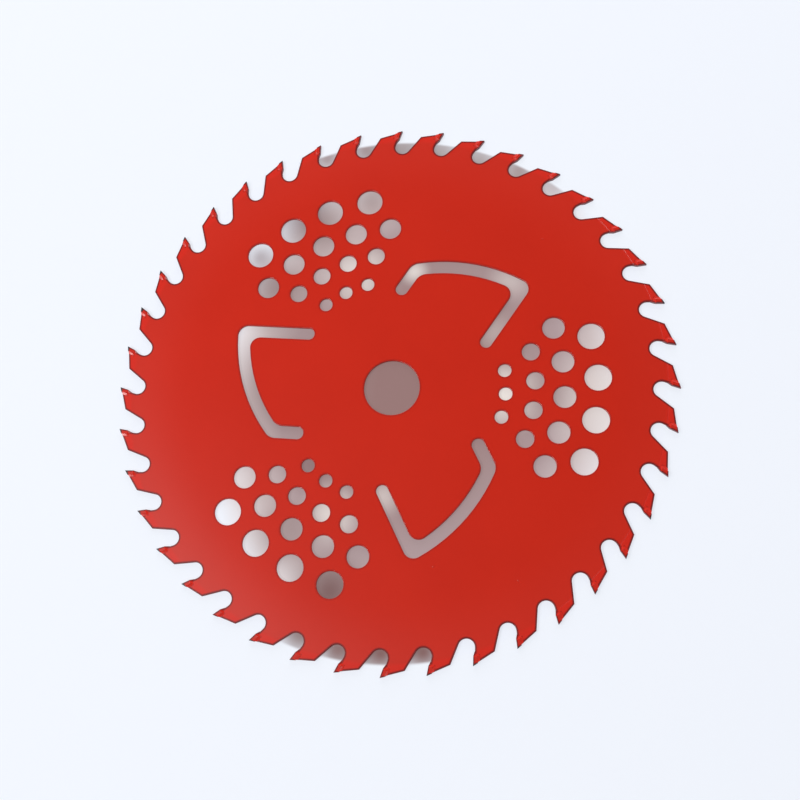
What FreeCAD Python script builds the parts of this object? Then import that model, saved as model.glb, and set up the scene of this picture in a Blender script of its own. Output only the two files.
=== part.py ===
import FreeCAD, Part
import math
import os
import Sketcher

# Toothed disc blade for a brush cutter, in millimetres and degrees.
# The blade lies flat: the bore axis is +Z and the middle of the plate is at z = 0.
# +X runs through the middle of one group of holes, and the teeth point clockwise seen from +Z.
SIZES = {
    # Steel plate
    "tip_diameter": 255.0,       # across the tooth points
    "bore_diameter": 25.4,
    "plate_thickness": 1.3,
    # Teeth
    "tooth_count": 40,
    "first_tooth_angle": 3.0,    # from +X to the point of the first tooth
    "hook_angle": 18.0,          # lean of the rake face from the radius
    "relief_angle": 16.0,        # fall of the tooth top behind the point
    "land_length": 8.4,          # straight top of the plate's tooth behind the carbide
    "gullet_depth": 11.8,        # from the tooth points to the gullet floor
    "gullet_radius": 3.6,
    # Carbide tips
    "tip_height": 4.2,           # length of the rake face
    "tip_depth": 2.0,            # from the rake face to the seat behind it
    "tip_width": 2.0,            # along the bore axis, wider than the plate
    "tip_overhang": 0.64,        # the rake face stands this far ahead of the plate
    "tip_lift": 0.25,            # the tip's top stands this far above the plate's tooth
    "braze_bevel": 0.3,          # brazed shoulder along the two seated edges
    # Groups of relief slots and cooling holes
    "group_count": 3,
    "slot_start": 38.3,          # from the bore axis to the ends of the legs
    "slot_reach": 74.6,          # from the bore axis to the far side of the curved run
    "slot_half_span": 26.3,      # from the slot's own centre line to the outside of each leg
    "slot_width": 5.8,           # curved run and short leg
    "long_leg_width": 5.4,
    "slot_arc_radius": 74.3,     # middle line of the curved run
    "long_corner_radius": 4.7,
    "short_corner_radius": 6.0,
    "hole_sides": 28,            # narrow flats that stand for the round wall of a cooling hole
    "hole_pitch": 12.1,          # angle between neighbouring holes of one row
    "inner_row_radius": 51.3,
    "inner_hole_diameter": 6.0,
    "second_row_radius": 64.4,
    "second_hole_diameter": 8.0,
    "third_row_radius": 77.4,
    "third_hole_diameter": 10.0,
    "outer_row_radius": 92.0,
    "outer_hole_diameter": 12.0,
}

# Each row of cooling holes: its name in the sheet and how many holes one group has in it.
HOLE_ROWS = (("inner", 3), ("second", 4), ("third", 5), ("outer", 4))

START = 1
END = 2
CENTRE = 3
ORIGIN = (-1, 1)
X_AXIS = -1
FULL_TURN = 360.0
SAME_PLACE = 1e-6


def fill_sheet(doc):
    sheet = doc.addObject("Spreadsheet::Sheet", "sizes")
    for row, (alias, value) in enumerate(SIZES.items(), start=1):
        sheet.set(f"A{row}", alias.replace("_", " "))
        sheet.set(f"B{row}", str(value))
        sheet.setAlias(f"B{row}", alias)
    doc.recompute()
    return sheet


def flat(x, y):
    return FreeCAD.Vector(x, y, 0)


def turned(vector, degrees):
    return FreeCAD.Rotation(FreeCAD.Vector(0, 0, 1), degrees).multVec(vector)


def heading(vector):
    return math.atan2(vector.y, vector.x)


def unit(vector):
    return FreeCAD.Vector(vector).normalize()


def line(start, end):
    return Part.LineSegment(start, end)


def ring(centre, radius):
    return Part.Circle(centre, FreeCAD.Vector(0, 0, 1), radius)


def arc(centre, radius, start_angle, end_angle):
    return Part.ArcOfCircle(ring(centre, radius), start_angle, end_angle)


def origin_feature(body, role):
    return [part for part in body.Origin.OriginFeatures if part.Role == role][0]


def lay_flat(body, kind, name):
    # A new sketch or prism that stands on the middle plane of the blade.
    thing = body.newObject(kind, name)
    thing.AttachmentSupport = [(origin_feature(body, "XY_Plane"), "")]
    thing.MapMode = "FlatFace"
    return thing


def add_sketch(body, name):
    return lay_flat(body, "Sketcher::SketchObject", name)


def join(sketch, kind, pairs):
    # Each pair is one end of one edge and one end of another.
    for first, first_end, second, second_end in pairs:
        sketch.addConstraint(Sketcher.Constraint(kind, first, first_end, second, second_end))


def dimension(sketch, name, rule, kind, *where):
    # A sketch dimension tied to the sheet. Angles are in degrees in the rule.
    value = float(sketch.evalExpression(rule))
    if kind == "Angle":
        value = math.radians(value)
    index = sketch.addConstraint(Sketcher.Constraint(kind, *where, value))
    sketch.renameConstraint(index, name)
    sketch.setExpression(f"Constraints.{name}", rule)


def tooth_points(sheet):
    # Corners of the carbide tip for a tooth whose point is on +X.
    hook = math.radians(sheet.hook_angle)
    relief = math.radians(sheet.relief_angle)
    down = flat(-math.cos(hook), math.sin(hook))
    behind = flat(math.sin(hook), math.cos(hook))
    land = flat(-math.sin(relief), math.cos(relief))
    point = flat(sheet.tip_diameter / 2, 0)
    foot = point + down * sheet.tip_height
    heel = foot + behind * sheet.tip_depth
    crown = point + land * (sheet.tip_depth / math.cos(hook + relief))
    return down, behind, land, point, foot, heel, crown


def rake_dimensions(sketch, rake):
    # The rake face starts at the tooth point and leans by the hook angle.
    sketch.addConstraint(Sketcher.Constraint("PointOnObject", rake, START, X_AXIS))
    dimension(sketch, "point_reach", "sizes.tip_diameter / 2", "DistanceX", *ORIGIN, rake, START)
    dimension(sketch, "rake_lean", "180 - sizes.hook_angle", "Angle", rake)
    dimension(sketch, "rake_length", "sizes.tip_height", "Distance", rake)


def plate_blank(body, sheet):
    # A flat round sheet with the bore through it, as large as the circle of the tooth points.
    sketch = add_sketch(body, "plate_outline")
    for alias in ("tip_diameter", "bore_diameter"):
        circle = sketch.addGeometry(ring(flat(0, 0), sheet.get(alias) / 2), False)
        join(sketch, "Coincident", [(circle, CENTRE, *ORIGIN)])
        dimension(sketch, alias, f"sizes.{alias}", "Diameter", circle)
    blank = body.newObject("PartDesign::Pad", "plate_blank")
    blank.Profile = sketch
    blank.SideType = "Symmetric"
    blank.setExpression("Length", "sizes.plate_thickness")


def gap_sketch(body, sheet):
    # Everything cut away between one tooth's top and the next tooth's back corner:
    # the open space above the top, the carbide seat, the gullet and the sloping back.
    sketch = add_sketch(body, "tooth_gap")
    sketch.setExpression("AttachmentOffset.Rotation.Angle", "sizes.first_tooth_angle")
    down, behind, land, point, foot, heel, crown = tooth_points(sheet)
    pitch = FULL_TURN / sheet.tooth_count
    lean = math.radians(sheet.hook_angle + sheet.relief_angle)

    seat_top = crown + down * (sheet.tip_lift / math.cos(lean))
    back_corner = seat_top + land * sheet.land_length
    seat_front = foot + behind * sheet.tip_overhang
    next_corner = turned(back_corner, -pitch)

    # The gullet touches the plate's front face and keeps its depth below the points.
    centre_reach = sheet.tip_diameter / 2 - sheet.gullet_depth + sheet.gullet_radius
    level = seat_front - behind * sheet.gullet_radius
    along = level.dot(down)
    run = -along - math.sqrt(along ** 2 - level.dot(level) + centre_reach ** 2)
    centre = level + down * run
    gullet_front = centre + behind * sheet.gullet_radius
    to_corner = next_corner - centre
    opening = math.degrees(math.acos(sheet.gullet_radius / to_corner.Length))
    gullet_back = centre + turned(unit(to_corner), -opening) * sheet.gullet_radius

    # The cut runs out past the blank, and leans so that neighbouring cuts overlap.
    outside = sheet.tip_diameter / 2 + sheet.tip_height
    entry = unit(back_corner) * outside
    across = next_corner.dot(down)
    rise = across + math.sqrt(across ** 2 - next_corner.dot(next_corner) + outside ** 2)
    leave = next_corner - down * rise

    top, wall, floor, front, gullet, back, exit_side, outer, entry_side = range(9)
    outline = [
        line(back_corner, seat_top),
        line(seat_top, heel),
        line(heel, seat_front),
        line(seat_front, gullet_front),
        arc(centre, sheet.gullet_radius, heading(gullet_front - centre), heading(gullet_back - centre)),
        line(gullet_back, next_corner),
        line(next_corner, leave),
        line(leave, entry),
        line(entry, back_corner),
    ]
    for edge in outline:
        sketch.addGeometry(edge, False)
    rake, spoke, next_spoke = range(9, 12)
    sketch.addGeometry(line(point, foot), True)
    sketch.addGeometry(line(flat(0, 0), back_corner), True)
    sketch.addGeometry(line(flat(0, 0), next_corner), True)

    corners = [(top, wall), (wall, floor), (floor, front), (back, exit_side)]
    corners += [(exit_side, outer), (outer, entry_side), (entry_side, top)]
    join(sketch, "Coincident", [(first, END, second, START) for first, second in corners])
    join(sketch, "Tangent", [(front, END, gullet, START), (gullet, END, back, START)])
    join(sketch, "Coincident", [(spoke, START, *ORIGIN), (next_spoke, START, *ORIGIN)])
    join(sketch, "Coincident", [(spoke, END, top, START), (next_spoke, END, back, END)])
    for side in (wall, front, exit_side):
        sketch.addConstraint(Sketcher.Constraint("Parallel", rake, side))
    sketch.addConstraint(Sketcher.Constraint("Perpendicular", rake, floor))
    sketch.addConstraint(Sketcher.Constraint("PointOnObject", rake, END, floor))
    sketch.addConstraint(Sketcher.Constraint("PointOnObject", *ORIGIN, entry_side))
    sketch.addConstraint(Sketcher.Constraint("Equal", spoke, next_spoke))

    outside_rule = "sizes.tip_diameter / 2 + sizes.tip_height"
    centre_rule = "sizes.tip_diameter / 2 - sizes.gullet_depth + sizes.gullet_radius"
    rake_dimensions(sketch, rake)
    dimension(sketch, "seat_depth", "sizes.tip_depth", "Distance", rake, END, floor, START)
    dimension(sketch, "seat_setback", "sizes.tip_overhang", "Distance", rake, END, floor, END)
    dimension(sketch, "top_slope", "sizes.relief_angle - 90", "Angle", top)
    dimension(sketch, "top_drop", "sizes.tip_lift", "Distance", rake, START, top)
    dimension(sketch, "top_length", "sizes.land_length", "Distance", top)
    dimension(sketch, "gullet_size", "sizes.gullet_radius", "Radius", gullet)
    dimension(sketch, "gullet_reach", centre_rule, "Distance", *ORIGIN, gullet, CENTRE)
    dimension(sketch, "pitch", "360 / sizes.tooth_count", "Angle", next_spoke, START, spoke, START)
    dimension(sketch, "entry_reach", outside_rule, "Distance", *ORIGIN, entry_side, START)
    dimension(sketch, "exit_reach", outside_rule, "Distance", *ORIGIN, exit_side, END)
    return sketch


def slot_sketch(body, sheet):
    # One relief slot with its own centre line on +X: a long leg, a curved run and a short leg.
    sketch = add_sketch(body, "relief_slot")
    sketch.setExpression("AttachmentOffset.Rotation.Angle", "180 / sizes.group_count")
    span = sheet.slot_half_span
    width = sheet.slot_width
    long_width = sheet.long_leg_width
    outer_radius = sheet.slot_arc_radius + width / 2
    inner_radius = sheet.slot_arc_radius - width / 2
    middle = flat(sheet.slot_reach - outer_radius, -span)

    def corner(run_radius, radius, height):
        # Centre of a corner arc that touches a leg and the inside of the curved run.
        reach = math.sqrt((run_radius - radius) ** 2 - (height - middle.y) ** 2)
        return flat(middle.x + reach, height)

    long_radius = sheet.long_corner_radius
    short_radius = sheet.short_corner_radius
    long_outer = corner(outer_radius, long_radius, -span + long_radius)
    long_inner = corner(inner_radius, long_radius, -span + long_width + long_radius)
    short_outer = corner(outer_radius, short_radius, span - short_radius)
    short_inner = corner(inner_radius, short_radius, span - width - short_radius)
    long_end = flat(sheet.slot_start + long_width / 2, -span + long_width / 2)
    short_end = flat(sheet.slot_start + width / 2, span - width / 2)

    quarter = math.pi / 2
    names = range(12)
    long_side, long_bend, far_run, short_bend, short_side, short_tip = names[:6]
    short_return, short_neck, near_run, long_neck, long_return, long_tip = names[6:]
    outline = [
        line(flat(long_end.x, -span), flat(long_outer.x, -span)),
        arc(long_outer, long_radius, -quarter, heading(long_outer - middle)),
        arc(middle, outer_radius, heading(long_outer - middle), heading(short_outer - middle)),
        arc(short_outer, short_radius, heading(short_outer - middle), quarter),
        line(flat(short_outer.x, span), flat(short_end.x, span)),
        arc(short_end, width / 2, quarter, 3 * quarter),
        line(flat(short_end.x, span - width), flat(short_inner.x, span - width)),
        arc(short_inner, short_radius, heading(short_inner - middle), quarter),
        arc(middle, inner_radius, heading(long_inner - middle), heading(short_inner - middle)),
        arc(long_inner, long_radius, -quarter, heading(long_inner - middle)),
        line(flat(long_inner.x, long_width - span), flat(long_end.x, long_width - span)),
        arc(long_end, long_width / 2, quarter, 3 * quarter),
    ]
    for edge in outline:
        sketch.addGeometry(edge, False)

    join(sketch, "Tangent", [
        (long_side, END, long_bend, START),
        (long_bend, END, far_run, START),
        (far_run, END, short_bend, START),
        (short_bend, END, short_side, START),
        (short_side, END, short_tip, START),
        (short_tip, END, short_return, START),
        (short_return, END, short_neck, END),
        (short_neck, START, near_run, END),
        (near_run, START, long_neck, END),
        (long_neck, START, long_return, START),
        (long_return, END, long_tip, START),
        (long_tip, END, long_side, START),
    ])
    for side in (long_side, short_side, short_return, long_return):
        sketch.addConstraint(Sketcher.Constraint("Horizontal", side))
    join(sketch, "Coincident", [(far_run, CENTRE, near_run, CENTRE)])
    sketch.addConstraint(Sketcher.Constraint("PointOnObject", far_run, CENTRE, long_side))

    middle_rule = "sizes.slot_arc_radius + sizes.slot_width / 2 - sizes.slot_reach"
    long_end_rule = "sizes.slot_start + sizes.long_leg_width / 2"
    short_end_rule = "sizes.slot_start + sizes.slot_width / 2"
    dimension(sketch, "long_level", "sizes.slot_half_span", "DistanceY", long_side, START, *ORIGIN)
    dimension(sketch, "short_level", "sizes.slot_half_span", "DistanceY", *ORIGIN, short_side, START)
    dimension(sketch, "long_width", "sizes.long_leg_width", "DistanceY", long_side, START, long_return, END)
    dimension(sketch, "short_width", "sizes.slot_width", "DistanceY", short_return, START, short_side, END)
    dimension(sketch, "long_end", long_end_rule, "DistanceX", *ORIGIN, long_tip, CENTRE)
    dimension(sketch, "short_end", short_end_rule, "DistanceX", *ORIGIN, short_tip, CENTRE)
    dimension(sketch, "run_centre", middle_rule, "DistanceX", far_run, CENTRE, *ORIGIN)
    dimension(sketch, "far_radius", "sizes.slot_arc_radius + sizes.slot_width / 2", "Radius", far_run)
    dimension(sketch, "near_radius", "sizes.slot_arc_radius - sizes.slot_width / 2", "Radius", near_run)
    dimension(sketch, "long_bend_radius", "sizes.long_corner_radius", "Radius", long_bend)
    dimension(sketch, "long_neck_radius", "sizes.long_corner_radius", "Radius", long_neck)
    dimension(sketch, "short_bend_radius", "sizes.short_corner_radius", "Radius", short_bend)
    dimension(sketch, "short_neck_radius", "sizes.short_corner_radius", "Radius", short_neck)
    return sketch


def turn_about_bore(body, pattern, angle_rule, count_rule):
    pattern.Axis = (origin_feature(body, "Z_Axis"), [""])
    pattern.setExpression("Angle", angle_rule)
    pattern.setExpression("Occurrences", count_rule)


def cut_evenly(doc, body, sketch, name, count_rule):
    # A cut right through the plate, repeated evenly about the bore.
    doc.recompute()
    cut = body.newObject("PartDesign::Pocket", name)
    cut.Profile = sketch
    cut.SideType = "Symmetric"
    cut.setExpression("Length", "2 * sizes.plate_thickness")
    doc.recompute()
    pattern = body.newObject("PartDesign::PolarPattern", f"{name}_pattern")
    pattern.Originals = [cut]
    turn_about_bore(body, pattern, "360", count_rule)
    body.Tip = pattern
    doc.recompute()
    if not pattern.Shape.Volume < cut.Shape.Volume < cut.BaseFeature.Shape.Volume:
        raise RuntimeError(f"{name} removes nothing")


def add_punches(doc, body, row, count):
    # One row of hole punches: along the arc of a group, and then once for each group.
    swing = f"({count - 1} / 2 * sizes.hole_pitch)"
    punch = lay_flat(body, "PartDesign::AdditivePrism", f"{row}_punch")
    punch.setExpression("Polygon", "sizes.hole_sides")
    punch.setExpression("Circumradius", f"sizes.{row}_hole_diameter / 2")
    punch.setExpression("Height", "2 * sizes.plate_thickness")
    punch.setExpression("AttachmentOffset.Base.x", f"sizes.{row}_row_radius * cos{swing}")
    punch.setExpression("AttachmentOffset.Base.y", f"-sizes.{row}_row_radius * sin{swing}")
    punch.setExpression("AttachmentOffset.Base.z", "-sizes.plate_thickness")
    doc.recompute()
    repeat = body.newObject("PartDesign::MultiTransform", f"{row}_punches")
    repeat.Originals = [punch]
    along_arc = body.newObject("PartDesign::PolarPattern", f"{row}_punch_arc")
    groups = body.newObject("PartDesign::PolarPattern", f"{row}_punch_groups")
    turn_about_bore(body, along_arc, f"{count - 1} * sizes.hole_pitch", str(count))
    turn_about_bore(body, groups, "360", "sizes.group_count")
    repeat.Transformations = [along_arc, groups]
    body.Tip = repeat
    doc.recompute()


def cut_cooling_holes(doc, body):
    # A set of punches stands in a body of its own, and takes all the holes out in one stroke.
    punches = doc.addObject("PartDesign::Body", "hole_punches")
    punches.AllowCompound = True
    for row, count in HOLE_ROWS:
        add_punches(doc, punches, row, count)
    uncut = body.Shape.Volume
    holes = body.newObject("PartDesign::Boolean", "cooling_holes")
    holes.Type = "Cut"
    holes.setObjects([punches])
    body.Tip = holes
    doc.recompute()
    if not holes.Shape.Volume < uncut:
        raise RuntimeError("the punches remove nothing")


def add_plate(doc, sheet):
    body = doc.addObject("PartDesign::Body", "blade_plate")
    body.Label = "blade_plate"
    plate_blank(body, sheet)
    cut_evenly(doc, body, gap_sketch(body, sheet), "tooth_gap_cut", "sizes.tooth_count")
    cut_evenly(doc, body, slot_sketch(body, sheet), "relief_slot_cut", "sizes.group_count")
    cut_cooling_holes(doc, body)
    return body


def add_tip(doc, sheet, number):
    # A brazed carbide tip, drawn with its point on +X and then turned to its own tooth.
    name = f"carbide_tip_{number:02d}"
    body = doc.addObject("PartDesign::Body", name)
    body.Label = name
    sketch = add_sketch(body, f"{name}_side")
    down, behind, land, point, foot, heel, crown = tooth_points(sheet)
    rake, bottom, rear, top = range(4)
    for start, end in ((point, foot), (foot, heel), (heel, crown), (crown, point)):
        sketch.addGeometry(line(start, end), False)
    join(sketch, "Coincident", [(side, END, (side + 1) % 4, START) for side in range(4)])
    rake_dimensions(sketch, rake)
    sketch.addConstraint(Sketcher.Constraint("Perpendicular", rake, bottom))
    sketch.addConstraint(Sketcher.Constraint("Parallel", rake, rear))
    dimension(sketch, "seat_depth", "sizes.tip_depth", "Distance", bottom)
    dimension(sketch, "top_slope", "sizes.relief_angle - 90", "Angle", top)
    block = body.newObject("PartDesign::Pad", f"{name}_block")
    block.Profile = sketch
    block.SideType = "Symmetric"
    block.setExpression("Length", "sizes.tip_width")
    doc.recompute()

    # The shoulder follows the rear and bottom edges on both sides of the tip.
    seated = []
    for index, edge in enumerate(block.Shape.Edges, start=1):
        middle = edge.CenterOfMass
        beside = abs(abs(middle.z) - sheet.tip_width / 2) < SAME_PLACE
        along_rear = abs((middle - heel).dot(behind)) < SAME_PLACE
        along_bottom = abs((middle - heel).dot(down)) < SAME_PLACE
        if beside and (along_rear or along_bottom):
            seated.append(f"Edge{index}")
    shoulder = body.newObject("PartDesign::Chamfer", f"{name}_shoulder")
    shoulder.Base = (block, seated)
    shoulder.setExpression("Size", "sizes.braze_bevel")
    body.Tip = shoulder
    turn_rule = f"sizes.first_tooth_angle - {number - 1} * 360 / sizes.tooth_count"
    body.setExpression("Placement.Rotation.Angle", turn_rule)
    return body


def check(doc, bodies):
    for thing in doc.Objects:
        if "Invalid" in thing.State or "Error" in thing.State:
            raise RuntimeError(f"{thing.Name} failed: {thing.State}")
    for body in bodies:
        if body.Shape.isNull() or not body.Shape.isValid():
            raise RuntimeError(f"{body.Label} has no valid shape")
        if len(body.Shape.Solids) != 1:
            raise RuntimeError(f"{body.Label} is not one solid")


def main():
    doc = FreeCAD.newDocument("brush_cutter_blade")
    sheet = fill_sheet(doc)
    bodies = [add_plate(doc, sheet)]
    for number in range(1, int(sheet.tooth_count) + 1):
        bodies.append(add_tip(doc, sheet, number))
    doc.recompute()
    check(doc, bodies)
    os.makedirs("parts", exist_ok=True)
    for body in bodies:
        body.Shape.exportStep(f"parts/{body.Label}.step")


main()
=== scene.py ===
import math

import bmesh
import bpy
from mathutils import Matrix, Vector


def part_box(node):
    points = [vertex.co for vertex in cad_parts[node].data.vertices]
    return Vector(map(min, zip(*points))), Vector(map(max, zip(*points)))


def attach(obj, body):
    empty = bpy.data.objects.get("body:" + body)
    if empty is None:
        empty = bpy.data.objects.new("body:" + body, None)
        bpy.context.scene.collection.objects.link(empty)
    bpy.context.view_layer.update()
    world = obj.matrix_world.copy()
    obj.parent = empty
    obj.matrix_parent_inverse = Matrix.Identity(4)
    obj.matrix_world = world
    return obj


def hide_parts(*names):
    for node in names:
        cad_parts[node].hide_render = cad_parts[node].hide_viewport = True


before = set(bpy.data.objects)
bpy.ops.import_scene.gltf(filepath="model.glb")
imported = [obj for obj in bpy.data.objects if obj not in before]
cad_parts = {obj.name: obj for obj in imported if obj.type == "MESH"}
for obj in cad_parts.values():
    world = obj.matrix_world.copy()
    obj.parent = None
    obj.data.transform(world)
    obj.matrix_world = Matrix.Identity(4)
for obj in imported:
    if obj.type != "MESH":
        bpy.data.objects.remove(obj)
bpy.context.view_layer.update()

# Brush cutter blade under its enamel, on a plain pale sweep of studio paper.
# Lengths are in metres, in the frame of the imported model, and MM turns millimetres into them.
MM = 0.001

# Carbide tip and its seat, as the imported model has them
TOOTH_COUNT = 40
HOOK_ANGLE = math.radians(18)
RELIEF_ANGLE = math.radians(16)
TIP_HEIGHT = 4.2 * MM
TIP_DEPTH = 2.0 * MM
TIP_OVERHANG = 0.64 * MM
TIP_LIFT = 0.25 * MM
BRAZE_BEVEL = 0.3 * MM

# Paint over the cut edges: how round it makes them, and the bands beside them that get a painted shade
PLATE_EDGE_ROUND = 0.25 * MM
PLATE_SHADE_BANDS = (0.2 * MM, 0.6 * MM)
TIP_EDGE_ROUND = 0.15 * MM
TIP_SHADE_BANDS = (0.2 * MM, 0.45 * MM)
EDGE_SEGMENTS = 3
SHADE_MARK_LAYER = "painted_edge_shade"

# Bead of braze along the seated edges of a tip
FILLET_REACH = 1.2 * MM
FILLET_HOLLOW = 1.5
FILLET_STEPS = 10
FILLET_TURN_STEPS = 4
FILLET_SINK = 0.03 * MM

# Web of braze between a tip's heel and the plate's front face
WEB_DROP = 2.1 * MM
WEB_COVER = 1.6 * MM
WEB_HEIGHT = 0.95 * MM
WEB_SETBACK = 0.03 * MM

# Specks of dust in the paint: millimetres from the bore along X and Y, and heading in degrees
NIB_PLACES = ((19.2, 76.9, 20.08), (63.1, 74.4, 15.36), (25.5, -78.7, 21.04), (62.3, -82.0, 329.53))
NIB_LENGTH = 1.2 * MM
NIB_WIDTH = 0.6 * MM
NIB_HEIGHT = 0.12 * MM
NIB_SUBDIVISIONS = 3

# How faces and edges are told apart
MERGE_DISTANCE = 0.001 * MM
FLAT_JOIN_ANGLE = math.radians(1)
CUT_EDGE_ANGLE = math.radians(50)
CREASE_ANGLE = math.radians(40)
LEVEL_TOLERANCE = 0.01 * MM
LYING_FLAT = 0.999
STANDING_UPRIGHT = 0.05

# Camera
VIEW_AZIMUTH = math.radians(-59.086)
VIEW_ELEVATION = math.radians(73.034)
VIEW_ROLL = math.radians(5.348)
VIEW_DISTANCE = 527.23 * MM
VIEW_TARGET = Vector((4.194 * MM, -5.357 * MM, 0))
LENS_LENGTH = 52.771
SENSOR_WIDTH = 36

# Enamel on the plate: colours, cloudiness and orange peel
ENAMEL_IOR = 1.5
DEEP_COLOUR = "c31f06"
LIGHT_COLOUR = "c72108"
RIM_COLOUR = "cf2210"
# A darker maroon that is painted along the cut edges and walls as shade
EDGE_SHADE_COLOUR = "72120f"
CLOUD_SIZE = 45 * MM
CLOUD_DETAIL = 2.0
CLOUD_LOW = 0.3
CLOUD_HIGH = 0.7
PEEL_SIZE = 1.6 * MM
PEEL_DETAIL = 1.0
PEEL_DEPTH = 0.02 * MM
PEEL_STRENGTH = 0.35

# Enamel on the plate: where the painted edge shade is weaker, and where it is dry or stepped, as distances
# from the bore axis
HOLE_SHADE_SHARE = 0.35
HOLES_END = 100 * MM
GULLETS_START = 108 * MM
DRY_START = 92 * MM
DRY_END = 121 * MM
WET_ROUGHNESS = 0.277
DRY_ROUGHNESS = 0.345
RIM_START = 120.8 * MM
RIM_END = 122.8 * MM
RIM_ROUGHNESS = 0.3

# Groove round the rim, and the places along X where it stops being filled with paint
RIM_GROOVE = 122.3 * MM
RIM_GROOVE_WIDTH = 0.6 * MM
RIM_GROOVE_DEPTH = 0.09 * MM
GROOVE_FILLED = 72 * MM
GROOVE_OPEN = 88 * MM

# Enamel on the carbide, rubbed bare at the cutting point
TIP_COLOUR = "c62210"
CARBIDE_COLOUR = "4a4546"
TIP_ROUGHNESS = 0.3
BARE_ROUGHNESS = 0.45
FLAKE_SIZE = 0.7 * MM
FLAKE_DETAIL = 3.0
FLAKE_REACH = 1.2 * MM
WEAR_SIZE = 14 * MM
WEAR_DETAIL = 0.0
WEAR_REACH = 1.6 * MM
# How much further the dark bare carbide reaches on the -X side, a painted shade
SIDE_SHADE_REACH = 0.75 * MM
SIDE_SHADE_START = -60 * MM
SIDE_SHADE_END = -105 * MM
BARE_START = 128.35 * MM
BARE_END = 128.85 * MM

# Paper sweep
FLOOR_RADIUS = 2.4
COVE_RADIUS = 0.6
WALL_TOP = 2.0
COVE_STEPS = 10
SWEEP_STEPS = 96
SWEEP_MERGE_DISTANCE = 0.1 * MM
PAPER_COLOUR = "f2f6fe"
PAPER_GLOW = 0.8

# Painted shade under the blade: a pool, with the tones from its middle to its edge
POOL_CENTRE = (12 * MM, 2 * MM, 0)
POOL_HEADING = math.radians(80)
POOL_REACH = (120 * MM, 95 * MM, 1)
POOL_EDGE_START = 121.2 * MM
POOL_EDGE_END = 122.8 * MM
SHADE_POOL_TONES = (
    (0.20, "997a78"), (0.45, "a58c8c"), (0.65, "b09b9d"),
    (0.80, "cdbebe"), (0.90, "e4dcde"), (1.00, "f1f5fe"))

# Soft patches of painted shade and painted light in the pool: millimetres from the bore along X and Y,
# reach in millimetres, strength and tone
# Tones of painted light where light falls through the holes, of warm and grey painted shade, and of painted
# shade in the gullets
PAINTED_LIGHT_TONE = "ebe3de"
WARM_SHADE_TONE = "7d5f5e"
GREY_SHADE_TONE = "938987"
RIM_SHADE_TONE = "8a6b69"
SHADE_AND_LIGHT_PATCHES = (
    (50, 0, 23, 1.0, PAINTED_LIGHT_TONE),
    (-21, 54, 24, 0.8, PAINTED_LIGHT_TONE),
    (5, 57, 9, 0.8, PAINTED_LIGHT_TONE),
    (-22, -59, 18, 0.8, PAINTED_LIGHT_TONE),
    (1, -49, 12, 0.5, PAINTED_LIGHT_TONE),
    (50, 55, 14, 0.4, PAINTED_LIGHT_TONE),
    (44, 29, 13, 0.25, PAINTED_LIGHT_TONE),
    (92, 0, 36, 0.45, PAINTED_LIGHT_TONE),
    (-60, 46, 26, 0.7, WARM_SHADE_TONE),
    (-46, 80, 28, 0.8, WARM_SHADE_TONE),
    (-69, 61, 9, 0.5, WARM_SHADE_TONE),
    (-19, 92, 14, 0.5, WARM_SHADE_TONE),
    (-50, 0, 36, 0.65, WARM_SHADE_TONE),
    (-34, -38, 14, 0.5, WARM_SHADE_TONE),
    (-19, -93, 26, 0.95, WARM_SHADE_TONE),
    (70, 0, 16, 0.3, WARM_SHADE_TONE),
    (-42, -70, 24, 0.5, WARM_SHADE_TONE),
    (-12, 113, 22, 0.9, GREY_SHADE_TONE),
    (8, 113, 22, 0.8, GREY_SHADE_TONE),
    (30, 110, 18, 0.7, GREY_SHADE_TONE),
    (52, 101, 14, 0.7, GREY_SHADE_TONE),
    (-28, -110, 14, 0.9, GREY_SHADE_TONE),
    (-5, -113, 18, 0.95, GREY_SHADE_TONE),
    (18, -112, 10, 0.7, GREY_SHADE_TONE),
    (24, -115, 14, 1.0, RIM_SHADE_TONE),
    (6, -117, 14, 1.0, RIM_SHADE_TONE),
    (-13, -117, 13, 0.9, RIM_SHADE_TONE),
    (-31, -112, 12, 0.6, RIM_SHADE_TONE),
    (-42, 113, 12, 0.75, RIM_SHADE_TONE),
    (-24, 118, 12, 0.7, RIM_SHADE_TONE),
    (-5, 121, 12, 0.4, RIM_SHADE_TONE),
    (14, 120, 12, 0.3, RIM_SHADE_TONE),
    (32, 116, 12, 0.25, RIM_SHADE_TONE),
    (50, 110, 12, 0.65, RIM_SHADE_TONE),
    (67, 101, 12, 0.45, RIM_SHADE_TONE),
)

# Brightness of the air in the studio, where 1 is white
AIR_LEVEL = 0.17

UP = Vector((0, 0, 1))
PLATE_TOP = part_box("blade_plate")[1].z
TIP_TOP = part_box("carbide_tip_01")[1].z
REST_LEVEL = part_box("carbide_tip_01")[0].z

# Directions at a tooth whose point lies on +X: down its rake face, straight behind it, and along
# its sloping back
DOWN_RAKE = Vector((-math.cos(HOOK_ANGLE), math.sin(HOOK_ANGLE), 0))
BEHIND_RAKE = Vector((math.sin(HOOK_ANGLE), math.cos(HOOK_ANGLE), 0))
ALONG_BACK = Vector((-math.sin(RELIEF_ANGLE), math.cos(RELIEF_ANGLE), 0))
OUT_OF_BACK = Vector((math.cos(RELIEF_ANGLE), math.sin(RELIEF_ANGLE), 0))

# Settings of nodes that are used again and again. A colour mix takes its share at input 0 and its
# colours at 6 and 7, and gives the result at output 2.
SMOOTH_STEP = {"interpolation_type": "SMOOTHSTEP"}
COLOUR_MIX = {"data_type": "RGBA"}


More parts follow.
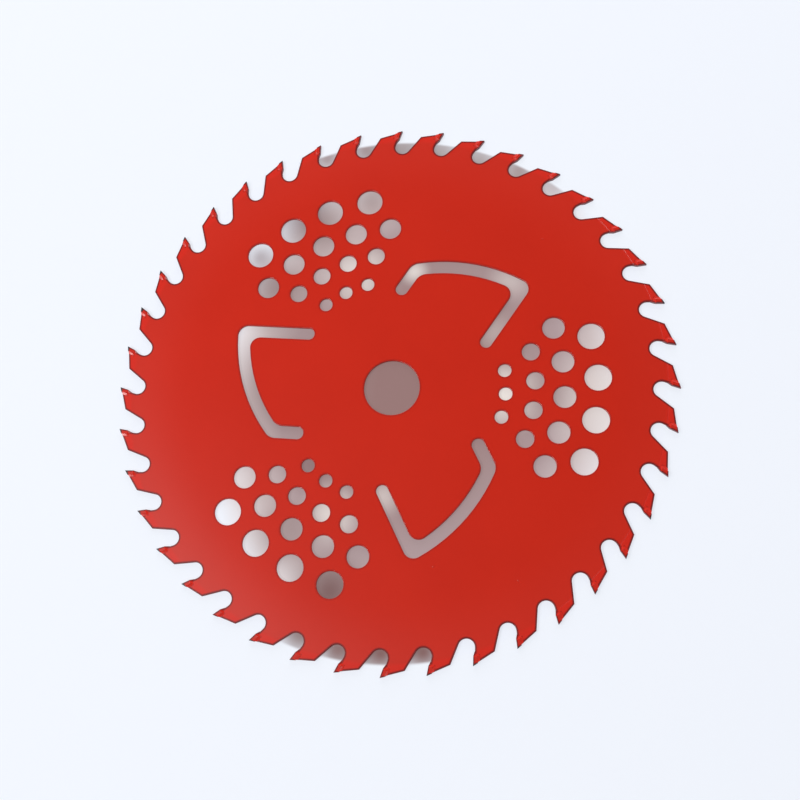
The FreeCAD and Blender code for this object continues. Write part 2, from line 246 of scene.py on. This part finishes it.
def linear(hex_colour):
    # An sRGB colour such as "c22d1e" as linear red, green, blue and alpha.
    channels = []
    for start in (0, 2, 4):
        level = int(hex_colour[start:start + 2], 16) / 255
        channels.append(level / 12.92 if level <= 0.04045 else ((level + 0.055) / 1.055) ** 2.4)
    return (*channels, 1.0)


def toward(azimuth, elevation):
    # The direction from the blade to a place that is seen at this azimuth and elevation.
    level = math.cos(elevation)
    return Vector((level * math.cos(azimuth), level * math.sin(azimuth), math.sin(elevation)))


def add_node(tree, kind, settings=None, **inputs):
    # One node, its settings, and its inputs: each a value or another node's output.
    # An input is named with _ for a space, or as i and its number.
    node = tree.nodes.new(kind)
    for name, value in (settings or {}).items():
        setattr(node, name, value)
    for name, value in inputs.items():
        place = int(name[1:]) if name[1:].isdigit() else name.replace("_", " ")
        socket = node.inputs[place]
        if isinstance(value, bpy.types.NodeSocket):
            tree.links.new(value, socket)
        else:
            socket.default_value = value
    return node


def new_material(name):
    material = bpy.data.materials.new(name)
    material.use_nodes = True
    material.node_tree.nodes.clear()
    return material, material.node_tree


def disc_radius(tree, place):
    # Distance from the bore axis.
    level = add_node(tree, "ShaderNodeVectorMath", {"operation": "MULTIPLY"}, i0=place, i1=(1, 1, 0))
    length = add_node(tree, "ShaderNodeVectorMath", {"operation": "LENGTH"}, i0=level.outputs[0])
    return length.outputs["Value"]


def sprayed_enamel():
    # Gloss alkyd enamel sprayed on sheet steel. It gives an even signal red with a soft sheen and a
    # faint orange peel. It has a painted shade in darker maroon along the cut edges, less so round
    # the holes than at the teeth. A fine groove runs round the ground rim, and paint has filled most of it.
    material, tree = new_material("sprayed_red_enamel")
    place = add_node(tree, "ShaderNodeTexCoord").outputs["Object"]
    radius = disc_radius(tree, place)

    cloud = add_node(tree, "ShaderNodeTexNoise", Vector=place, Scale=1 / CLOUD_SIZE, Detail=CLOUD_DETAIL)
    depth = add_node(tree, "ShaderNodeMapRange", Value=cloud.outputs["Fac"], From_Min=CLOUD_LOW,
                     From_Max=CLOUD_HIGH)
    face = add_node(tree, "ShaderNodeMix", COLOUR_MIX, i0=depth.outputs["Result"],
                    i6=linear(DEEP_COLOUR), i7=linear(LIGHT_COLOUR))
    rim = add_node(tree, "ShaderNodeMapRange", SMOOTH_STEP, Value=radius,
                   From_Min=RIM_START, From_Max=RIM_END)
    covered = add_node(tree, "ShaderNodeMix", COLOUR_MIX, i0=rim.outputs["Result"],
                       i6=face.outputs[2], i7=linear(RIM_COLOUR))
    # Painted shade along the cut edges and walls, weaker round the holes
    shade_mark = add_node(tree, "ShaderNodeAttribute", {"attribute_name": SHADE_MARK_LAYER})
    edge_shade_share = add_node(tree, "ShaderNodeMapRange", SMOOTH_STEP, Value=radius, From_Min=HOLES_END,
                        From_Max=GULLETS_START, To_Min=HOLE_SHADE_SHARE, To_Max=1.0)
    darkened = add_node(tree, "ShaderNodeMath", {"operation": "MULTIPLY"},
                        i0=shade_mark.outputs["Fac"], i1=edge_shade_share.outputs["Result"])
    colour = add_node(tree, "ShaderNodeMix", COLOUR_MIX, i0=darkened.outputs[0],
                      i6=covered.outputs[2], i7=linear(EDGE_SHADE_COLOUR))

    peel = add_node(tree, "ShaderNodeTexNoise", Vector=place, Scale=1 / PEEL_SIZE, Detail=PEEL_DETAIL)
    peel_bump = add_node(tree, "ShaderNodeBump", Strength=PEEL_STRENGTH, Distance=PEEL_DEPTH,
                         Height=peel.outputs["Fac"])
    offset = add_node(tree, "ShaderNodeMath", {"operation": "SUBTRACT"}, i0=radius, i1=RIM_GROOVE)
    away = add_node(tree, "ShaderNodeMath", {"operation": "ABSOLUTE"}, i0=offset.outputs[0])
    groove = add_node(tree, "ShaderNodeMapRange", SMOOTH_STEP, Value=away.outputs[0],
                      From_Min=0.0, From_Max=RIM_GROOVE_WIDTH / 2)
    side = add_node(tree, "ShaderNodeSeparateXYZ", Vector=place)
    opened = add_node(tree, "ShaderNodeMapRange", SMOOTH_STEP, Value=side.outputs["X"],
                      From_Min=GROOVE_FILLED, From_Max=GROOVE_OPEN)
    groove_bump = add_node(tree, "ShaderNodeBump", Strength=opened.outputs["Result"],
                           Distance=RIM_GROOVE_DEPTH, Height=groove.outputs["Result"],
                           Normal=peel_bump.outputs["Normal"])
    dry = add_node(tree, "ShaderNodeMapRange", SMOOTH_STEP, Value=radius, From_Min=DRY_START,
                   From_Max=DRY_END, To_Min=WET_ROUGHNESS, To_Max=DRY_ROUGHNESS)
    roughness = add_node(tree, "ShaderNodeMix", {"data_type": "FLOAT"}, i0=rim.outputs["Result"],
                         i2=dry.outputs["Result"], i3=RIM_ROUGHNESS)
    shader = add_node(tree, "ShaderNodeBsdfPrincipled", Base_Color=colour.outputs[2], IOR=ENAMEL_IOR,
                      Roughness=roughness.outputs[0], Normal=groove_bump.outputs["Normal"])
    add_node(tree, "ShaderNodeOutputMaterial", Surface=shader.outputs["BSDF"])
    return material


def enamelled_carbide():
    # The same enamel over a ground tungsten carbide tip. It gives a darker red along the edges as painted
    # shade, and is rubbed away to dull dark carbide at the cutting point; that dark reaches further on the
    # -X side as a painted shade.
    material, tree = new_material("enamelled_tungsten_carbide")
    place = add_node(tree, "ShaderNodeTexCoord").outputs["Object"]
    flakes = add_node(tree, "ShaderNodeTexNoise", Vector=place, Scale=1 / FLAKE_SIZE, Detail=FLAKE_DETAIL)
    wear = add_node(tree, "ShaderNodeTexNoise", Vector=place, Scale=1 / WEAR_SIZE, Detail=WEAR_DETAIL)
    side = add_node(tree, "ShaderNodeSeparateXYZ", Vector=place)
    # The dark bare carbide reaches further on the -X side as a painted shade
    side_shade = add_node(tree, "ShaderNodeMapRange", SMOOTH_STEP, Value=side.outputs["X"],
                         From_Min=SIDE_SHADE_END, From_Max=SIDE_SHADE_START, To_Min=SIDE_SHADE_REACH, To_Max=0.0)
    reach = add_node(tree, "ShaderNodeMath", {"operation": "ADD"},
                     i0=disc_radius(tree, place), i1=side_shade.outputs["Result"])
    worn = add_node(tree, "ShaderNodeMath", {"operation": "MULTIPLY_ADD"},
                    i0=wear.outputs["Fac"], i1=WEAR_REACH, i2=reach.outputs[0])
    ragged = add_node(tree, "ShaderNodeMath", {"operation": "MULTIPLY_ADD"},
                      i0=flakes.outputs["Fac"], i1=FLAKE_REACH, i2=worn.outputs[0])
    bare = add_node(tree, "ShaderNodeMapRange", SMOOTH_STEP, Value=ragged.outputs[0],
                    From_Min=BARE_START, From_Max=BARE_END).outputs["Result"]
    # Painted shade along the tip's free edges
    shade_mark = add_node(tree, "ShaderNodeAttribute", {"attribute_name": SHADE_MARK_LAYER})
    paint = add_node(tree, "ShaderNodeMix", COLOUR_MIX, i0=shade_mark.outputs["Fac"],
                     i6=linear(TIP_COLOUR), i7=linear(EDGE_SHADE_COLOUR))
    colour = add_node(tree, "ShaderNodeMix", COLOUR_MIX, i0=bare, i6=paint.outputs[2],
                      i7=linear(CARBIDE_COLOUR))
    roughness = add_node(tree, "ShaderNodeMapRange", Value=bare, To_Min=TIP_ROUGHNESS, To_Max=BARE_ROUGHNESS)
    shader = add_node(tree, "ShaderNodeBsdfPrincipled", Base_Color=colour.outputs[2], Metallic=bare,
                      Roughness=roughness.outputs["Result"], IOR=ENAMEL_IOR)
    add_node(tree, "ShaderNodeOutputMaterial", Surface=shader.outputs["BSDF"])
    return material


def studio_paper():
    # Matt background paper. It gives a plain pale ground, with a painted shade under the blade:
    # a soft warm pool in the paper's colour, with painted patches of shade and of light in it.
    material, tree = new_material("matt_paper_with_painted_shade")
    place = add_node(tree, "ShaderNodeTexCoord").outputs["Object"]
    pool = add_node(tree, "ShaderNodeMapping", {"vector_type": "TEXTURE"}, Vector=place,
                    Location=POOL_CENTRE, Rotation=(0, 0, POOL_HEADING), Scale=POOL_REACH)
    depth = add_node(tree, "ShaderNodeVectorMath", {"operation": "LENGTH"}, i0=pool.outputs[0])
    tones = add_node(tree, "ShaderNodeValToRGB", Fac=depth.outputs["Value"])
    stops = tones.color_ramp.elements
    while len(stops) < len(SHADE_POOL_TONES):
        stops.new(1.0)
    for stop, (share, colour) in zip(stops, SHADE_POOL_TONES):
        stop.position = share
        stop.color = linear(colour)
    tone = tones.outputs["Color"]

    # Painted patches of shade and of light in the pool
    for across, along, reach, strength, patch_tone in SHADE_AND_LIGHT_PATCHES:
        patch = add_node(tree, "ShaderNodeMapping", {"vector_type": "TEXTURE"}, Vector=place,
                         Location=(across * MM, along * MM, 0), Scale=(reach * MM, reach * MM, 1))
        fade = add_node(tree, "ShaderNodeVectorMath", {"operation": "LENGTH"}, i0=patch.outputs[0])
        share = add_node(tree, "ShaderNodeMapRange", SMOOTH_STEP, Value=fade.outputs["Value"],
                         To_Min=strength, To_Max=0.0)
        tone = add_node(tree, "ShaderNodeMix", COLOUR_MIX, i0=share.outputs["Result"],
                        i6=tone, i7=linear(patch_tone)).outputs[2]

    # The painted shade stops at the blade's rim
    outside = add_node(tree, "ShaderNodeMapRange", SMOOTH_STEP, Value=disc_radius(tree, place),
                       From_Min=POOL_EDGE_START, From_Max=POOL_EDGE_END)
    colour = add_node(tree, "ShaderNodeMix", COLOUR_MIX, i0=outside.outputs["Result"],
                      i6=tone, i7=linear(PAPER_COLOUR)).outputs[2]
    rays = add_node(tree, "ShaderNodeLightPath")
    seen = add_node(tree, "ShaderNodeMath", {"operation": "MAXIMUM"},
                    i0=rays.outputs["Is Camera Ray"], i1=rays.outputs["Is Glossy Ray"])
    seen = add_node(tree, "ShaderNodeMath", {"operation": "MAXIMUM"},
                    i0=seen.outputs[0], i1=rays.outputs["Is Transmission Ray"])
    share = add_node(tree, "ShaderNodeMath", {"operation": "MULTIPLY"}, i0=seen.outputs[0], i1=PAPER_GLOW)
    matt = add_node(tree, "ShaderNodeBsdfDiffuse", Color=colour)
    glow = add_node(tree, "ShaderNodeEmission", Color=colour)
    shader = add_node(tree, "ShaderNodeMixShader", Fac=share.outputs[0],
                      i1=matt.outputs[0], i2=glow.outputs[0])
    add_node(tree, "ShaderNodeOutputMaterial", Surface=shader.outputs[0])
    return material


def make_piece(name, form, material):
    mesh = bpy.data.meshes.new(name)
    form.to_mesh(mesh)
    form.free()
    mesh.materials.append(material)
    piece = bpy.data.objects.new(name, mesh)
    bpy.context.scene.collection.objects.link(piece)
    return piece


def merged_copy(name):
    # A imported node's form, with its split corners joined and its flat faces whole.
    form = bmesh.new()
    form.from_mesh(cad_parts[name].data)
    bmesh.ops.remove_doubles(form, verts=form.verts, dist=MERGE_DISTANCE)
    bmesh.ops.dissolve_limit(form, angle_limit=FLAT_JOIN_ANGLE, verts=form.verts, edges=form.edges)
    return form


def cut_edges(form):
    # The edges between a flat face and a cut wall.
    return [edge for edge in form.edges if edge.calc_face_angle(0) > CUT_EDGE_ANGLE
            and abs(edge.verts[0].co.z - edge.verts[1].co.z) < LEVEL_TOLERANCE]


def touches(edge, faces):
    return any(face in faces for face in edge.link_faces)


def crease_sharp_edges(form):
    for edge in form.edges:
        edge.smooth = edge.calc_face_angle(0) < CREASE_ANGLE


def round_painted_edges(form, offset, shade_bands):
    # Rounds the cut edges over, and marks where a painted shade goes: on the cut walls, on the rounded
    # edges, on a band beside them, and less and less on a second band.
    rounded = set(bmesh.ops.bevel(form, geom=cut_edges(form), offset=offset, offset_type="OFFSET",
                                  affect="EDGES", segments=EDGE_SEGMENTS, profile=0.5,
                                  material=-1)["faces"])
    flat_faces = [face for face in form.faces if abs(face.normal.z) > LYING_FLAT]
    shade_mark = form.loops.layers.float.new(SHADE_MARK_LAYER)
    inner_bands = []
    for width in shade_bands:
        inner_bands.append(bmesh.ops.inset_region(form, faces=flat_faces, thickness=width, use_boundary=True,
                                                  use_even_offset=True)["faces"])
    beside = {face for face in inner_bands[0] if any(touches(edge, rounded) for edge in face.edges)}
    for face in form.faces:
        if face in rounded or face in beside or abs(face.normal.z) < STANDING_UPRIGHT:
            for corner in face.loops:
                corner[shade_mark] = 1.0
    for face in inner_bands[1]:
        dark_corners = {place for edge in face.edges if touches(edge, beside) for place in edge.verts}
        for corner in face.loops:
            corner[shade_mark] = float(corner.vert in dark_corners)
    for face in form.faces:
        face.smooth = abs(face.normal.z) < LYING_FLAT
    crease_sharp_edges(form)


def enamelled_plate(material):
    # The steel disc, with every cut edge rounded over by the paint.
    form = merged_copy("blade_plate")
    round_painted_edges(form, PLATE_EDGE_ROUND, PLATE_SHADE_BANDS)
    plate = make_piece("enamelled_plate", form, material)
    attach(plate, "root")
    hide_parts("blade_plate")


def enamelled_tips(material):
    # The carbide tips, with the edges that stand free of the seat rounded over by the paint.
    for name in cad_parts:
        if name.startswith("carbide_tip"):
            form = merged_copy(name)
            round_painted_edges(form, TIP_EDGE_ROUND, TIP_SHADE_BANDS)
            tip = make_piece(name.replace("carbide", "enamelled"), form, material)
            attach(tip, "root")
            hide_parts(name)


def verts_of(geom):
    return [part for part in geom if isinstance(part, bmesh.types.BMVert)]


def edges_of(geom):
    return [part for part in geom if isinstance(part, bmesh.types.BMEdge)]


def faces_of(geom):
    return [part for part in geom if isinstance(part, bmesh.types.BMFace)]


def whole(form):
    return form.verts[:] + form.edges[:] + form.faces[:]


def draw_out(form, face, shift):
    # Draws the form out from one face, and gives the face at its new end.
    grown = bmesh.ops.extrude_face_region(form, geom=[face])["geom"]
    bmesh.ops.translate(form, verts=verts_of(grown), vec=shift)
    return faces_of(grown)[0]


def lay_bead(form, point):
    # The bead on the upper side: down the back of the tip, round its heel, and forward to the
    # plate's front face. It starts above the tooth's back, where it is trimmed off flush.
    heel = point + DOWN_RAKE * TIP_HEIGHT + BEHIND_RAKE * TIP_DEPTH
    corner = heel - (DOWN_RAKE + BEHIND_RAKE) * BRAZE_BEVEL
    start = corner - DOWN_RAKE * TIP_HEIGHT
    section = []
    for step in range(FILLET_STEPS + 1):
        share = step / FILLET_STEPS
        height = PLATE_TOP + (TIP_TOP - PLATE_TOP) * (1 - share) ** FILLET_HOLLOW
        section.append(start + BEHIND_RAKE * FILLET_REACH * share + UP * height)
    for setback in (FILLET_REACH, BRAZE_BEVEL):
        section.append(start + BEHIND_RAKE * setback + UP * (PLATE_TOP - FILLET_SINK))
    start_face = form.faces.new([form.verts.new(place) for place in section])
    heel_face = draw_out(form, start_face, DOWN_RAKE * TIP_HEIGHT)
    turned = bmesh.ops.spin(form, geom=[heel_face], cent=corner, axis=UP, angle=math.radians(90),
                            steps=FILLET_TURN_STEPS)["geom_last"]
    draw_out(form, faces_of(turned)[0], -BEHIND_RAKE * (TIP_DEPTH - BRAZE_BEVEL - TIP_OVERHANG))
    bmesh.ops.remove_doubles(form, verts=form.verts, dist=MERGE_DISTANCE)

    lean = math.cos(HOOK_ANGLE + RELIEF_ANGLE)
    seat_top = point + ALONG_BACK * (TIP_DEPTH / lean) + DOWN_RAKE * (TIP_LIFT / lean)
    trimmed = bmesh.ops.bisect_plane(form, geom=whole(form), plane_co=seat_top, plane_no=OUT_OF_BACK,
                                     clear_outer=True)["geom_cut"]
    bmesh.ops.contextual_create(form, geom=edges_of(trimmed))


def fill_web(form, point):
    # The web slopes from the tip's heel down to the plate. Its free side gets the painted edge shade.
    foot = point + DOWN_RAKE * (TIP_HEIGHT - FILLET_SINK)
    free_side = []
    buried_side = []
    for side in (-1, 1):
        free_side.append(form.verts.new(foot + BEHIND_RAKE * WEB_SETBACK + UP * side * WEB_HEIGHT))
        free_side.append(form.verts.new(foot + BEHIND_RAKE * TIP_OVERHANG + DOWN_RAKE * WEB_DROP
                                        + UP * side * PLATE_TOP))
        buried_side.append(form.verts.new(foot + BEHIND_RAKE * WEB_COVER + UP * side * PLATE_TOP))
    web = bmesh.ops.convex_hull(form, input=free_side + buried_side)["geom"]
    shade_mark = form.loops.layers.float[SHADE_MARK_LAYER]
    for face in faces_of(web):
        for corner in face.loops:
            corner[shade_mark] = float(corner.vert in free_side)


def braze_fillets(material):
    # The braze of every carbide tip, painted over: a bead along its two seated edges, on both sides,
    # and a web that fills the corner between its heel and the plate's front face.
    first_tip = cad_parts["carbide_tip_01"].data.vertices
    tooth_point = max((corner.co for corner in first_tip), key=lambda place: place.to_2d().length)
    point = Vector((tooth_point.to_2d().length, 0, 0))
    first_heading = math.atan2(tooth_point.y, tooth_point.x)

    form = bmesh.new()
    form.loops.layers.float.new(SHADE_MARK_LAYER)
    lay_bead(form, point)
    below = bmesh.ops.duplicate(form, geom=whole(form))["geom"]
    bmesh.ops.scale(form, verts=verts_of(below), vec=(1, 1, -1))
    fill_web(form, point)
    bmesh.ops.recalc_face_normals(form, faces=form.faces)

    one_tooth = whole(form)
    bmesh.ops.rotate(form, verts=form.verts, cent=(0, 0, 0), matrix=Matrix.Rotation(first_heading, 3, "Z"))
    for number in range(1, TOOTH_COUNT):
        copied = bmesh.ops.duplicate(form, geom=one_tooth)["geom"]
        turn = Matrix.Rotation(-number * math.tau / TOOTH_COUNT, 3, "Z")
        bmesh.ops.rotate(form, verts=verts_of(copied), cent=(0, 0, 0), matrix=turn)
    for face in form.faces:
        face.smooth = True
    crease_sharp_edges(form)
    fillets = make_piece("braze_fillets", form, material)
    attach(fillets, "root")


def dust_nibs(material):
    # Specks of dust caught in the wet paint, each a ball one unit across that is scaled to its size.
    form = bmesh.new()
    for across, along, heading in NIB_PLACES:
        grown = bmesh.ops.create_icosphere(form, subdivisions=NIB_SUBDIVISIONS, radius=0.5)["verts"]
        turn = Matrix.Rotation(math.radians(heading), 3, "Z")
        bmesh.ops.scale(form, verts=grown, vec=(NIB_LENGTH, NIB_WIDTH, 2 * NIB_HEIGHT))
        bmesh.ops.rotate(form, verts=grown, cent=(0, 0, 0), matrix=turn)
        bmesh.ops.translate(form, verts=grown, vec=(across * MM, along * MM, PLATE_TOP))
    for face in form.faces:
        face.smooth = True
    nibs = make_piece("dust_nibs", form, material)
    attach(nibs, "root")


def paper_sweep(material):
    # A round floor that curves up into a wall.
    form = bmesh.new()
    centre = form.verts.new((0, 0, REST_LEVEL))
    edge = form.verts.new((FLOOR_RADIUS, 0, REST_LEVEL))
    form.edges.new((centre, edge))
    pivot = Vector((FLOOR_RADIUS, 0, REST_LEVEL + COVE_RADIUS))
    bend = bmesh.ops.spin(form, geom=[edge], cent=pivot, axis=(0, -1, 0), angle=math.radians(90),
                          steps=COVE_STEPS)
    last = verts_of(bend["geom_last"])[0]
    top = form.verts.new((last.co.x, 0, WALL_TOP))
    form.edges.new((last, top))
    bmesh.ops.spin(form, geom=form.verts[:] + form.edges[:], cent=(0, 0, 0), axis=UP,
                   angle=math.tau, steps=SWEEP_STEPS, use_merge=True)
    bmesh.ops.remove_doubles(form, verts=form.verts, dist=SWEEP_MERGE_DISTANCE)
    bmesh.ops.recalc_face_normals(form, faces=form.faces)
    for face in form.faces:
        face.smooth = True
    sweep = make_piece("paper_sweep", form, material)


def softbox(name, azimuth, elevation, distance, width, height, level):
    # A flat lamp turned to the blade. Its level is its brightness, where 1 is white.
    lamp = bpy.data.lights.new(name, "AREA")
    lamp.shape = "RECTANGLE"
    lamp.size = width
    lamp.size_y = height
    lamp.energy = level * math.pi * width * height
    stand = bpy.data.objects.new(name, lamp)
    away = toward(math.radians(azimuth), math.radians(elevation))
    stand.location = away * distance
    stand.rotation_euler = away.to_track_quat("Z", "Y").to_euler()
    stand.visible_camera = False
    bpy.context.scene.collection.objects.link(stand)
    return stand


def light_studio():
    # A broad key lamp that leaves no reflection, a strip for the haze and the glints on the -X side,
    # and a small lamp that the open part of the rim groove catches.
    world = bpy.data.worlds.new("studio_air")
    world.use_nodes = True
    backdrop = world.node_tree.nodes["Background"]
    backdrop.inputs["Color"].default_value = (1, 1, 1, 1)
    backdrop.inputs["Strength"].default_value = AIR_LEVEL
    bpy.context.scene.world = world
    key = softbox("key_softbox", azimuth=95, elevation=24, distance=1.1, width=1.4, height=0.9, level=2.88)
    key.visible_glossy = False
    softbox("side_strip", azimuth=205, elevation=54, distance=1.4, width=0.7, height=0.23, level=25.0)
    softbox("far_lamp", azimuth=-26, elevation=57, distance=1.4, width=0.16, height=0.16, level=14.0)


def place_camera():
    lens = bpy.data.cameras.new("camera")
    lens.sensor_width = SENSOR_WIDTH
    lens.lens = LENS_LENGTH
    camera = bpy.data.objects.new("camera", lens)
    away = toward(VIEW_AZIMUTH, VIEW_ELEVATION)
    right = Vector((0, 1, 0)).cross(away).normalized()
    upward = away.cross(right)
    turn = Matrix((right, upward, away)).transposed().to_4x4() @ Matrix.Rotation(VIEW_ROLL, 4, "Z")
    camera.matrix_world = Matrix.Translation(VIEW_TARGET + away * VIEW_DISTANCE) @ turn
    bpy.context.scene.collection.objects.link(camera)
    bpy.context.scene.camera = camera


enamel = sprayed_enamel()
enamelled_plate(enamel)
braze_fillets(enamel)
dust_nibs(enamel)
enamelled_tips(enamelled_carbide())
paper_sweep(studio_paper())
light_studio()
place_camera()
bpy.context.scene.view_settings.view_transform = "Standard"
